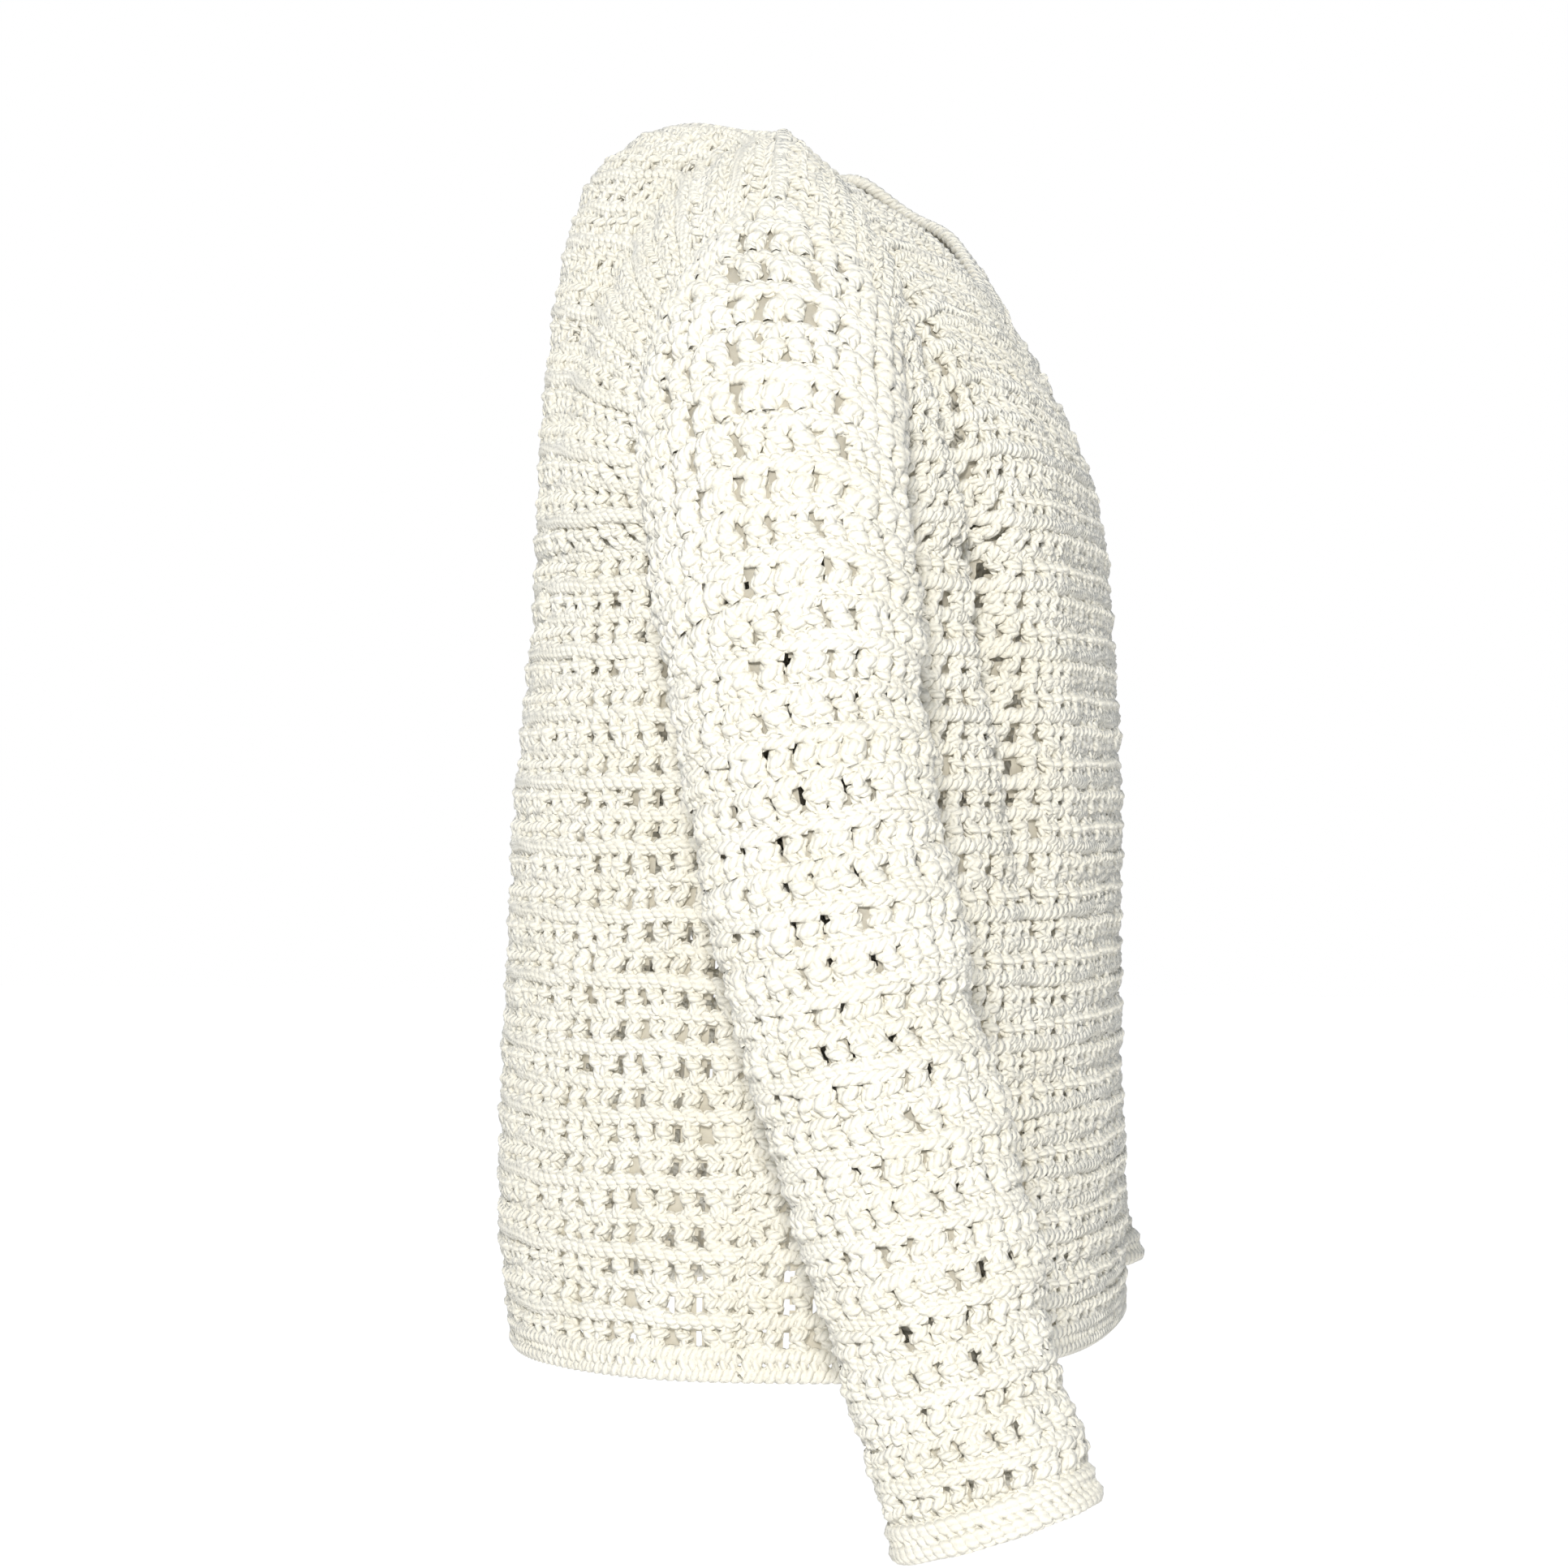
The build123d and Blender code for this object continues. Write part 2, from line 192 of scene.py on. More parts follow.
def chest_share(z):
    """0 at the hem, 1 at the underarm."""
    return smooth((z - HEM_Z) / (UNDERARM_Z - HEM_Z))


def low_row(front, u, v):
    """Half of a panel's row below the underarm: u from side to middle, v from hem to underarm."""
    y_mid, z = along(FRONT_LOW if front else BACK_LOW, v)[0]
    f = chest_share(z)
    half = HALF_WIDTH_HEM + (HALF_WIDTH_CHEST - HALF_WIDTH_HEM) * f
    seam_y = SEAM_Y_HEM + (SEAM_Y_CHEST - SEAM_Y_HEM) * f
    a = np.pi / 2 * u
    x = half * np.maximum(np.cos(a), 0) ** ROUNDNESS
    y = seam_y + (y_mid - seam_y) * np.sin(a) ** ROUNDNESS
    return np.stack([x, y, np.full_like(x, z)], -1)


def armhole(front, t):
    """Point on the edge of the armhole, t from underarm to shoulder."""
    bulge = ARMHOLE_BULGE * max(4 * t * (1 - t), 0) ** 0.75
    y = SEAM_Y_CHEST - bulge if front else SEAM_Y_CHEST + bulge
    return np.array([HALF_WIDTH_CHEST, y, UNDERARM_Z + (SHOULDER_TIP_Z - UNDERARM_Z) * t])


def high_row(front, u, v):
    """Half of a panel's row above the underarm, blended between its four edges."""
    w = smooth(v)
    h = ((1 - w) * np.sin(np.pi / 2 * u) ** ROUNDNESS + w * u)[:, None]
    rim = armhole(front, v)
    y_mid, z_mid = along(FRONT_TOP if front else BACK_TOP, v)[0]
    mid = np.array([0.0, y_mid, z_mid])
    bottom = low_row(front, u, 1.0)
    line = np.array(SHOULDER + (INSIDE_FRONT if front else INSIDE_BACK), float)
    fine = along(line, np.linspace(0, 1, DENSE))
    x = HALF_WIDTH_CHEST * (1 - u)
    y, z = (np.interp(-x, -fine[:, 0], fine[:, k]) for k in (1, 2))
    top = np.stack([x, y, z], -1)
    low = bottom - (1 - h) * armhole(front, 0.0) - h * bottom[-1]
    high = top - (1 - h) * line[0] - h * line[-1]
    return (1 - h) * rim + h * mid + (1 - w) * low + w * high


def respace(row, count):
    """The same line with evenly spaced points."""
    s = np.r_[0, np.cumsum(np.linalg.norm(np.diff(row, axis=0), axis=1))]
    t = np.linspace(0, s[-1], count)
    return np.stack([np.interp(t, s, row[:, i]) for i in range(3)], -1)


def valley(p, line, depth, width):
    """Soft fold: how far the cloth sinks near a line of (x, y, z, strength)."""
    pts = np.array(line, float)
    fine = along(pts, np.linspace(0, 1, 60))
    flat = p.reshape(-1, 3)
    out = np.zeros(len(flat))
    for q in fine:
        d2 = ((flat - q[:3]) ** 2).sum(1) / width**2
        out = np.maximum(out, q[3] * np.exp(-d2))
    return depth * out.reshape(p.shape[:-1])


class Patch:
    """A stretch of fabric: rows by stitches, with a smooth grid of points and normals."""

    def __init__(self, grid, rows, posts, closed=False, flip=False, fold=None):
        self.rows, self.posts, self.closed = rows, posts, closed
        self.jr = (grid.shape[0] - 1) / rows
        self.jc = (grid.shape[1] - 1) / posts
        self.p = grid
        self.n = self.normals(flip)
        if fold is not None:
            self.p = self.p - self.n * fold(self.p)[..., None]
            self.n = self.normals(flip)
        self.wide = np.linalg.norm(np.diff(self.p, axis=1), axis=-1).sum(1) / posts
        self.tall = np.linalg.norm(np.diff(self.p, axis=0), axis=-1).sum(0).mean() / rows

    def normals(self, flip):
        """Unit normals, outward; a closed patch finds its own outside."""
        p = self.p
        if self.closed:
            ring = np.concatenate([p[:, -2:-1], p, p[:, 1:2]], 1)
            du = ring[:, 2:] - ring[:, :-2]
        else:
            du = np.gradient(p, axis=1)
        dv = np.gradient(p, axis=0)
        n = np.cross(du, dv)
        n /= np.maximum(np.linalg.norm(n, axis=-1, keepdims=True), 1e-9)
        if self.closed:
            middle = p[:, :-1].mean(1, keepdims=True)
            flip = (n * (p - middle)).sum() < 0
        return -n if flip else n

    def width(self, row):
        """Width of one stitch at this row."""
        return float(self.wide[int(np.clip(round(row * self.jr), 0, len(self.wide) - 1))])

    def at(self, r, c, n):
        """Points at row r, stitch c and height n above the CAD skin, all arrays."""
        r, c, n = np.broadcast_arrays(np.asarray(r, float), c, n)
        top, right = self.p.shape[0] - 1, self.p.shape[1] - 1
        y = np.clip(r * self.jr, 0, top - 1e-6)
        x = c * self.jc
        x = np.mod(x, right) if self.closed else np.clip(x, 0, right - 1e-6)
        j, i = y.astype(int), x.astype(int)
        fy, fx = (y - j)[..., None], (x - i)[..., None]

        def mix(g):
            return ((g[j, i] * (1 - fx) + g[j, i + 1] * fx) * (1 - fy)
                    + (g[j + 1, i] * (1 - fx) + g[j + 1, i + 1] * fx) * fy)

        nn = mix(self.n)
        return mix(self.p) + nn * n[..., None], nn


def settle(p):
    """The right shoulder sinks a little beside the neck; the left front stands up a little."""
    x, y, z = p[..., 0], p[..., 1], p[..., 2]
    down = 11 * np.exp(-((x + 100) / 48) ** 2 - ((y + 22) / 42) ** 2) * smooth((z + 110) / 50)
    up = 9 * np.exp(-((x - 88) / 34) ** 2 - ((y + 62) / 26) ** 2) * smooth((z + 130) / 50)
    return p + np.stack([0 * x, 0 * x, up - down], -1)


def panel_patch(front, fold=None):
    """The whole front or back, right half and its mirror."""
    cols = POSTS * FINE_COL // 2
    u = np.linspace(0, 1, 241) ** 1.3
    low = LOW_ROWS * FINE_ROW
    top = TOP_ROWS[front] * FINE_ROW
    v0 = HEM_BAND / (UNDERARM_Z - HEM_Z) * 0.97
    rows = [respace(low_row(front, u, v0 + (1 - v0) * j / low), cols + 1) for j in range(low)]
    rows += [respace(high_row(front, u, j / top), cols + 1) for j in range(top + 1)]
    right = np.array(rows) * [-1, 1, 1]
    left = right[:, ::-1][:, 1:] * [-1, 1, 1]
    grid = settle(np.concatenate([right, left], 1))
    return Patch(grid, LOW_ROWS + TOP_ROWS[front], POSTS, flip=not front, fold=fold)


def hang(row, side):
    """Section of a sleeve; the left one sits pushed up a little."""
    (x_in, z_in), (x_out, z_out), y_mid, depth, lean = row
    if side > 0 and z_in < PUSHED_FROM_Z:
        z_in = PUSHED_FROM_Z + (z_in - PUSHED_FROM_Z) * PUSHED_LENGTH
        z_out = PUSHED_FROM_Z + (z_out - PUSHED_FROM_Z) * PUSHED_LENGTH
        y_mid = PUSHED_FROM_Y + (y_mid - PUSHED_FROM_Y) * PUSHED_SWING
        lean = lean * PUSHED_SWING
    return (x_in, z_in), (x_out, z_out), y_mid, depth, lean


def ring_at(row, count, shift=0.0, grow=0.0):
    """Closed ring of a sleeve section, moved down the arm by shift and made larger by grow."""
    (x_in, z_in), (x_out, z_out), y_mid, depth, lean = row
    a = np.linspace(0, 2 * np.pi, count + 1)
    tilt = math.radians(lean)
    mid = np.array([(x_in + x_out) / 2, y_mid, (z_in + z_out) / 2])
    mid = mid + np.array([0, -math.sin(tilt), -math.cos(tilt)]) * shift
    across = np.array([x_out - x_in, 0, z_out - z_in]) / 2
    across = across * (1 + grow / np.linalg.norm(across))
    back = np.array([0, math.cos(tilt), -math.sin(tilt)]) * (depth + grow)
    return mid - np.cos(a)[:, None] * across + np.sin(a)[:, None] * back


def armhole_ring(x, count, grow=0.0):
    """Closed ring round the armhole, in the plane x."""
    a = np.linspace(0, 2 * np.pi, count + 1)
    y = (ARMHOLE_BULGE + grow) * np.sign(np.sin(a)) * np.abs(np.sin(a)) ** 1.5
    z = SLEEVE_START_Z - (SLEEVE_START_HALF_HEIGHT + grow) * np.cos(a)
    return np.stack([np.full_like(a, x), SEAM_Y_CHEST + y, z], -1)


def sleeve_patch(side, fold=None):
    """A sleeve from the armhole to the cuff, its rows spaced between middle and outer side."""
    count = SLEEVE_POSTS * FINE_COL
    rings = [armhole_ring(HALF_WIDTH_CHEST + ARMHOLE_SEAM, count)]
    rings += [ring_at(hang(row, side), count) for row in SLEEVE]
    rings = np.array(rings) * [side, 1, 1]
    loft = rings.reshape(len(rings), -1)
    fine = along(loft, np.linspace(0, 1, DENSE)).reshape(DENSE, -1, 3)
    mid = fine[:, :-1].mean(1)
    s = np.r_[0, np.cumsum(np.linalg.norm(np.diff(mid, axis=0), axis=1))]
    outer = np.r_[0, np.cumsum(np.linalg.norm(np.diff(fine[:, count // 2], axis=0), axis=1))]
    even = 0.5 * s / s[-1] + 0.5 * outer / outer[-1]
    t = np.interp(np.linspace(0, 1, SLEEVE_ROWS * FINE_ROW + 1), even, np.linspace(0, 1, DENSE))
    grid = along(loft, t).reshape(len(t), -1, 3)
    return Patch(grid, SLEEVE_ROWS, SLEEVE_POSTS, closed=True, fold=fold)


def wavy(side):
    """Soft crosswise creases, strongest along the front and back of the sleeve."""
    def shape(p):
        z = p[..., 2]
        front = smooth((SEAM_Y_CHEST - 12 - p[..., 1] + 0.32 * (z + 250)) / 40 * 0.5 + 0.5)
        fade = smooth((-150 - z) / 120)
        wave = np.sin(z / 11.5 + 0.6) + 0.7 * np.sin(z / 19.0 + side)
        wave = wave + 0.5 * np.sin(z / 7.3 + p[..., 1] / 30)
        return fade * (0.6 + 1.1 * front) * wave
    return shape


# ---------------------------------------------------------------- yarn

class Yarn:
    """Collects strands and turns them into one mesh of round tubes."""

    def __init__(self):
        self.verts, self.quads, self.uv = [], [], []
        self.count = 0

    def add(self, path, normal, radius):
        """path (S, K, 3), normal (S, K, 3), radius (S, K) or a number, in mm."""
        S, K, _ = path.shape
        if S == 0:
            return
        m = SIDES
        radius = np.broadcast_to(np.asarray(radius, float), (S, K))
        t = np.gradient(path, axis=1)
        t /= np.maximum(np.linalg.norm(t, axis=-1, keepdims=True), 1e-9)
        b = np.cross(t, normal)
        b /= np.maximum(np.linalg.norm(b, axis=-1, keepdims=True), 1e-9)
        n = np.cross(b, t)
        a = np.arange(m) * 2 * np.pi / m
        spoke = n[:, :, None] * np.cos(a)[None, None, :, None]
        spoke = spoke + b[:, :, None] * np.sin(a)[None, None, :, None]
        ring = path[:, :, None] + radius[:, :, None, None] * spoke
        self.verts.append(ring.reshape(-1, 3))
        base = self.count + (np.arange(S)[:, None, None] * K + np.arange(K - 1)[None, :, None]) * m
        i = np.arange(m)[None, None, :]
        j = (i + 1) % m
        q = np.stack([base + i, base + j, base + m + j, base + m + i], -1).reshape(-1, 4)
        self.quads.append(q)
        step = np.linalg.norm(np.diff(path, axis=1), axis=-1)
        length = np.concatenate([np.zeros((S, 1)), np.cumsum(step, 1)], 1)
        l0, l1, v0, v1 = (np.broadcast_to(x, (S, K - 1, m)).reshape(-1) for x in (
            length[:, :-1, None], length[:, 1:, None], i / m, (i + 1) / m))
        uv = np.stack([np.stack(corner, -1) for corner in ((l0, v0), (l0, v1), (l1, v1), (l1, v0))], 1)
        self.uv.append(uv.reshape(-1, 2) * [0.1, 1.0])
        self.count += S * K * m

    def build(self, name, material):
        return mesh_object(name, np.concatenate(self.verts), np.concatenate(self.quads), material,
                           np.concatenate(self.uv))


def mesh_object(name, verts, quads, material, uv):
    """A smooth mesh of quads from millimetres, with its uv per corner."""
    mesh = bpy.data.meshes.new(name)
    mesh.vertices.add(len(verts))
    mesh.vertices.foreach_set("co", (verts * MM).astype(np.float32).ravel())
    mesh.loops.add(len(quads) * 4)
    mesh.loops.foreach_set("vertex_index", quads.astype(np.int32).ravel())
    mesh.polygons.add(len(quads))
    mesh.polygons.foreach_set("loop_start", np.arange(len(quads), dtype=np.int32) * 4)
    mesh.polygons.foreach_set("use_smooth", np.ones(len(quads), bool))
    layer = mesh.uv_layers.new(name="strand")
    layer.data.foreach_set("uv", uv.astype(np.float32).ravel())
    mesh.update(calc_edges=True)
    mesh.materials.append(material)
    obj = bpy.data.objects.new(name, mesh)
    bpy.context.scene.collection.objects.link(obj)
    return obj


def wobble(r, c, seed):
    """Smooth unevenness of the hand work, about -1 to 1."""
    k = np.random.default_rng(seed).uniform(0, 6.28, 6)
    return (np.sin(0.71 * c + 0.37 * r + k[0]) + np.sin(-0.43 * c + 0.83 * r + k[1])
            + np.sin(1.9 * c + 0.2 * r + k[2]) + np.sin(0.25 * c - 1.7 * r + k[3])) / 4


def strands(yarn, patch, r, c, n, radius, lateral, normal, phase):
    """Two strands that twist round each other along the line r, c, n."""
    w = patch.width(float(np.mean(r)))
    for k in range(2):
        ph = phase + k * np.pi
        p, nn = patch.at(r, c + lateral * np.cos(ph) / w, n + normal * np.sin(ph))
        yarn.add(p, nn, radius)


def stitch_rows(patch, first, last, keep, seed, full=1.0, spread=PANEL_SPREAD):
    """Yarn for rows first..last-1. keep(points) says which stitches exist."""
    yarn = Yarn()
    local = np.random.default_rng(seed)
    for row in range(first, last):
        m = np.arange(patch.posts)
        slot = m % GROUP
        w = patch.width(row + 0.5)
        h = patch.tall
        slim = full * float(np.clip(w / 10.2, 0.72, 1.05))
        jit = local.normal(0, 1, (9, len(m)))
        c0 = FOOT[slot] + m - slot + 0.09 * jit[0]
        c1 = HEAD[slot] + m - slot + 0.10 * jit[1]
        mid, _ = patch.at(row + 0.5, (c0 + c1) / 2, 0.0)
        use = keep(mid)
        c0, c1, jit = c0[use], c1[use], jit[:, use]
        if not len(c0):
            continue
        front = row % 2 == 0
        turn = 1.0 if front else -1.0
        lift = (0.9 if front else 0.5) + 0.45 * jit[2][:, None]
        sway = 0.09 * wobble(row, c0, seed)[:, None]
        s = np.linspace(0, 1, 8)[None, :]
        plump = 1 + 0.10 * jit[3][:, None]
        c = c0[:, None] + (c1 - c0)[:, None] * s + 0.03 * np.sin(3 * s + jit[4][:, None])
        r = row + 0.03 + 0.92 * s + sway
        n = MIDDLE + lift + 0.5 * np.sin(np.pi * s)
        radius = STRAND * slim * plump * (1.04 - 0.22 * np.abs(2 * s - 1) ** 3)
        phase = turn * (0.7 + 0.5 * jit[5][:, None] + s * 3.6)
        strands(yarn, patch, r, c, n, radius, TWIST * slim, TWIST, phase)
        # the yarn over that crosses the post
        s = np.linspace(-1, 1, 6)[None, :]
        c = c0[:, None] + (c1 - c0)[:, None] * 0.56 + (3.3 * slim / w) * s
        r = row + 0.55 + (0.10 + 0.03 * jit[6][:, None]) * s * turn + sway
        n = MIDDLE + lift + 3.2 * (1 - s**2) - 0.8 * s**2
        p, nn = patch.at(r, c, n)
        yarn.add(p, nn, STRAND * 1.0 * slim * plump * (1 - 0.22 * s**2))
        # the loop that grips the row below
        c = c0[:, None] + (spread * slim / w) * s + 0.04 * jit[8][:, None]
        r = row + 0.17 - 0.06 * s * turn + 0.03 * jit[7][:, None] + sway
        n = MIDDLE + (0.6 if front else 1.4) + 2.0 * (1 - s**2)
        p, nn = patch.at(r, c, n)
        yarn.add(p, nn, STRAND * 0.98 * slim * plump * np.ones_like(s))
        # the chain along the top of the row
        for start, stop in chain_runs(use):
            x = np.linspace(start, stop, int(round((stop - start) * 8)) + 1)
            bulk = 1.0 + 0.12 * wobble(row * 1.7, x * 1.3, seed + 5)
            high = (1.7 if front else 0.0) + 0.9 * wobble(row * 2.3, x * 0.6, seed + 3)
            for k in range(2):
                ph = 2 * np.pi * x + k * np.pi + 0.5 * wobble(row, x, seed + 9)
                r = row + 1.0 + (1.8 / h) * np.sin(ph) + 0.13 * wobble(row, x * 0.8, seed)
                n = MIDDLE + high + 1.35 * np.cos(ph) + 0.4 * wobble(row + 3, x, seed)
                p, nn = patch.at(r, x, n)
                yarn.add(p[None], nn[None], (STRAND * 1.10 * min(1.0, slim + 0.1) * bulk)[None])
    return yarn


def chain_runs(use):
    """Stretches of the row where stitches exist, as (start, stop) in stitches."""
    runs = []
    start = None
    for i, flag in enumerate(np.r_[use, False]):
        if flag and start is None:
            start = i
        if not flag and start is not None:
            runs.append((float(start), float(i)))
            start = None
    return runs


def ground(patch, keep, name, material, depth=-1.0, open_from=0.0):
    """The thin middle of the fabric, open at the gaps between stitches."""
    rows, cols = patch.p.shape[0] - 1, patch.p.shape[1] - 1
    j, i = np.meshgrid(np.arange(rows), np.arange(cols), indexing="ij")
    centre = (patch.p[:-1, :-1] + patch.p[1:, 1:]) / 2
    cell = i % (GROUP * FINE_COL)
    level = j % FINE_ROW
    closed = np.random.default_rng(rows).random((rows // FINE_ROW + 1, cols // (GROUP * FINE_COL) + 1, 3))
    shut = closed[j // FINE_ROW, i // (GROUP * FINE_COL)]
    shut = shut - smooth((open_from - j / FINE_ROW) / 4.0 + 0.5)[..., None] * (open_from > 0)
    hole = np.isin(cell, (3, 4)) & (level == 4) & (shut[..., 0] > 0.30)
    hole |= (cell == 3) & (level == 3) & (shut[..., 0] > 0.5)
    hole |= (cell == 7) & np.isin(level, (1, 2, 3)) & (shut[..., 1] > 0.25)
    hole |= (cell == 8) & (level == 2) & (shut[..., 1] > 0.5)
    hole |= (cell == 0) & np.isin(level, (1, 2, 3)) & (shut[..., 2] > 0.35)
    hole |= (cell == 1) & (level == 2) & (shut[..., 2] > 0.6)
    keep_cell = keep(centre.reshape(-1, 3)).reshape(rows, cols) & ~hole
    wide = cols + 1
    k = (j * wide + i)[keep_cell]
    quads = np.stack([k, k + 1, k + wide + 1, k + wide], -1)
    if patch.closed:
        quads = np.where(quads % wide == cols, quads - cols, quads)
    verts = (patch.p + patch.n * (MIDDLE + depth)).reshape(-1, 3)
    used, inverse = np.unique(quads.ravel(), return_inverse=True)
    uv = np.stack([(used % wide) / cols, (used // wide) / rows], -1)
    quads = inverse.reshape(-1, 4)
    return mesh_object(name, verts[used], quads, material, uv[quads.ravel()])


def border(patch, seed, bulk):
    """A tight edging: short stitches between chains, worked along the patch."""
    yarn = Yarn()
    local = np.random.default_rng(seed)
    h = patch.tall
    for row in range(patch.rows):
        m = np.arange(patch.posts)
        jit = local.normal(0, 1, (4, len(m)))
        for k in (-0.5, 0.5):
            s = np.linspace(0, 1, 6)[None, :]
            c = (m + 0.5 + k * 0.42)[:, None] + 0.22 * (s - 0.5) + 0.06 * jit[0][:, None]
            r = row + 0.06 + 0.88 * s
            n = MIDDLE + (1.6 + 0.4 * jit[1][:, None]) * np.sin(np.pi * s) + 0.2
            p, nn = patch.at(r, c, n)
            yarn.add(p, nn, STRAND * bulk * (1 + 0.08 * jit[2][:, None]) * np.ones_like(s))
    for row in range(patch.rows + 1):
        x = np.linspace(0, patch.posts, patch.posts * 8 + 1)
        once = 2 * np.pi * x / patch.posts
        swell = 1.0 + 0.12 * np.sin(once * 7 + seed) * np.sin(once * 3)
        edge = 0.13 if row == 0 else (-0.13 if row == patch.rows else 0.0)
        for k in range(2):
            ph = 2 * np.pi * x + k * np.pi
            r = row + edge + (1.5 * bulk / h) * np.sin(ph)
            n = MIDDLE + 0.9 + 1.3 * bulk * np.cos(ph)
            p, nn = patch.at(r, x, n)
            yarn.add(p[None], nn[None], (STRAND * 1.08 * bulk * swell)[None])
    return yarn


def rope(path, normal, size, lateral):
    """A joining seam: a two-strand chain that follows the path."""
    yarn = Yarn()
    path = np.asarray(path, float)
    length = np.linalg.norm(np.diff(path, axis=0), axis=1).sum()
    turns = max(2, int(round(length / JOIN_STEP)))
    count = turns * 8 + 1
    line = respace(path, count)
    up = respace(normal, count)
    across = np.cross(np.gradient(line, axis=0), up)
    across /= np.maximum(np.linalg.norm(across, axis=-1, keepdims=True), 1e-9)
    x = np.linspace(0, turns, count)
    for k in range(2):
        ph = 2 * np.pi * x + k * np.pi
        p = line + across * (lateral * np.sin(ph))[:, None] + up * (size * 0.5 * np.cos(ph))[:, None]
        yarn.add(p[None], up[None], size * np.ones((1, count)))
    return yarn


def everywhere(p):
    return np.ones(len(p), bool)


def outside_neck(grow):
    """Test for the stitches that stand outside the neck opening."""
    def test(p):
        across, deep = p[:, 0] / (NECK_A + grow), (p[:, 1] - NECK_CENTRE_Y) / (NECK_B + grow)
        return ~((across**2 + deep**2 < 1) & (p[:, 2] > -150))
    return test


def area_of(obj):
    mesh = obj.data
    a = np.empty(len(mesh.polygons))
    mesh.polygons.foreach_get("area", a)
    return float(a.sum())


# ---------------------------------------------------------------- materials

def thin(nt, bsdf, share):
    """Lets some light through the cloth."""
    through = nt.nodes.new("ShaderNodeBsdfTranslucent")
    through.inputs["Color"].default_value = WOOL_GLOW
    mix = nt.nodes.new("ShaderNodeMixShader")
    mix.inputs[0].default_value = share
    nt.links.new(bsdf.outputs[0], mix.inputs[1])
    nt.links.new(through.outputs[0], mix.inputs[2])
    nt.links.new(mix.outputs[0], nt.nodes["Material Output"].inputs["Surface"])


def math_node(nt, operation, *links, **values):
    """Math node with its inputs linked in order; values are constants by input number."""
    node = nt.nodes.new("ShaderNodeMath")
    node.operation = operation
    for key, value in values.items():
        node.inputs[int(key[1:])].default_value = value
    for socket, source in links:
        nt.links.new(source, node.inputs[socket])
    return node.outputs[0]


def wool(name, colour, tint, ply=True):
    """Matt wool: broad colour changes, fibre bumps with painted shade multiplied into their dips, and for
    yarn the ply twisted along it.
    """
    m = bpy.data.materials.new(name)
    m.use_nodes = True
    nt = m.node_tree
    bsdf = nt.nodes["Principled BSDF"]
    bsdf.inputs["Roughness"].default_value = 0.88
    bsdf.inputs["Specular IOR Level"].default_value = 0.25
    bsdf.inputs["Sheen Weight"].default_value = 0.25
    bsdf.inputs["Sheen Roughness"].default_value = 0.45
    coord = nt.nodes.new("ShaderNodeTexCoord")
    broad = nt.nodes.new("ShaderNodeTexNoise")
    broad.inputs["Scale"].default_value = 28.0
    broad.inputs["Detail"].default_value = 3.0
    fibre = nt.nodes.new("ShaderNodeTexNoise")
    fibre.inputs["Scale"].default_value = 900.0
    fibre.inputs["Detail"].default_value = 4.0
    fibre.inputs["Roughness"].default_value = 0.65
    nt.links.new(coord.outputs["Object"], broad.inputs["Vector"])
    nt.links.new(coord.outputs["Object"], fibre.inputs["Vector"])
    mix = nt.nodes.new("ShaderNodeMix")
    mix.data_type = "RGBA"
    mix.inputs["A"].default_value = (*colour, 1)
    mix.inputs["B"].default_value = (*tint, 1)
    ramp = nt.nodes.new("ShaderNodeMapRange")
    ramp.inputs["From Min"].default_value = 0.35
    ramp.inputs["From Max"].default_value = 0.70
    nt.links.new(broad.outputs["Fac"], ramp.inputs["Value"])
    nt.links.new(ramp.outputs["Result"], mix.inputs["Factor"])
    # painted shade: the colour is multiplied by WOOL_SHADE where the fibre noise, which is also the
    # bump's height, is low
    dark = nt.nodes.new("ShaderNodeMix")
    dark.data_type = "RGBA"
    dark.blend_type = "MULTIPLY"
    dark.inputs["B"].default_value = WOOL_SHADE
    level = nt.nodes.new("ShaderNodeMapRange")
    level.inputs["From Min"].default_value = 0.62
    level.inputs["From Max"].default_value = 0.35
    level.inputs["To Max"].default_value = 0.6
    nt.links.new(fibre.outputs["Fac"], level.inputs["Value"])
    nt.links.new(level.outputs["Result"], dark.inputs["Factor"])
    nt.links.new(mix.outputs["Result"], dark.inputs["A"])
    nt.links.new(dark.outputs["Result"], bsdf.inputs["Base Color"])
    bump = nt.nodes.new("ShaderNodeBump")
    bump.inputs["Strength"].default_value = 0.5
    bump.inputs["Distance"].default_value = 0.0006
    nt.links.new(fibre.outputs["Fac"], bump.inputs["Height"])
    last = bump
    if ply:
        uv = nt.nodes.new("ShaderNodeUVMap")
        uv.uv_map = "strand"
        split = nt.nodes.new("ShaderNodeSeparateXYZ")
        nt.links.new(uv.outputs["UV"], split.inputs["Vector"])
        twist = math_node(nt, "MULTIPLY_ADD", (0, split.outputs["X"]), (2, split.outputs["Y"]), i1=0.9)
        turn = math_node(nt, "MULTIPLY", (0, twist), i1=3 * math.pi)
        ridge = math_node(nt, "ABSOLUTE", (0, math_node(nt, "SINE", (0, turn))))
        groove = nt.nodes.new("ShaderNodeBump")
        groove.inputs["Strength"].default_value = 0.7
        groove.inputs["Distance"].default_value = 0.0012
        nt.links.new(ridge, groove.inputs["Height"])
        nt.links.new(bump.outputs["Normal"], groove.inputs["Normal"])
        last = groove
    nt.links.new(last.outputs["Normal"], bsdf.inputs["Normal"])
    if not ply:
        thin(nt, bsdf, 0.45)
    return m


CREAM = wool("cream_wool", *WOOL)
# the core's darker colour is painted shade in the recesses between stitches
CORE = wool("cream_wool_core_painted_shade", *WOOL_CORE_PAINTED_SHADE, ply=False)


# ---------------------------------------------------------------- the pullover

def bands(rows, step):
    return [(a, min(a + step, rows)) for a in range(0, rows, step)]


def add(yarn, name, slot, body, *nodes):
    """Makes the piece; a piece with no body is left without a parent."""
    piece = yarn.build(name, CREAM)
    if body:
        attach(piece, body)
    if nodes:
        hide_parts(*nodes)
    return piece


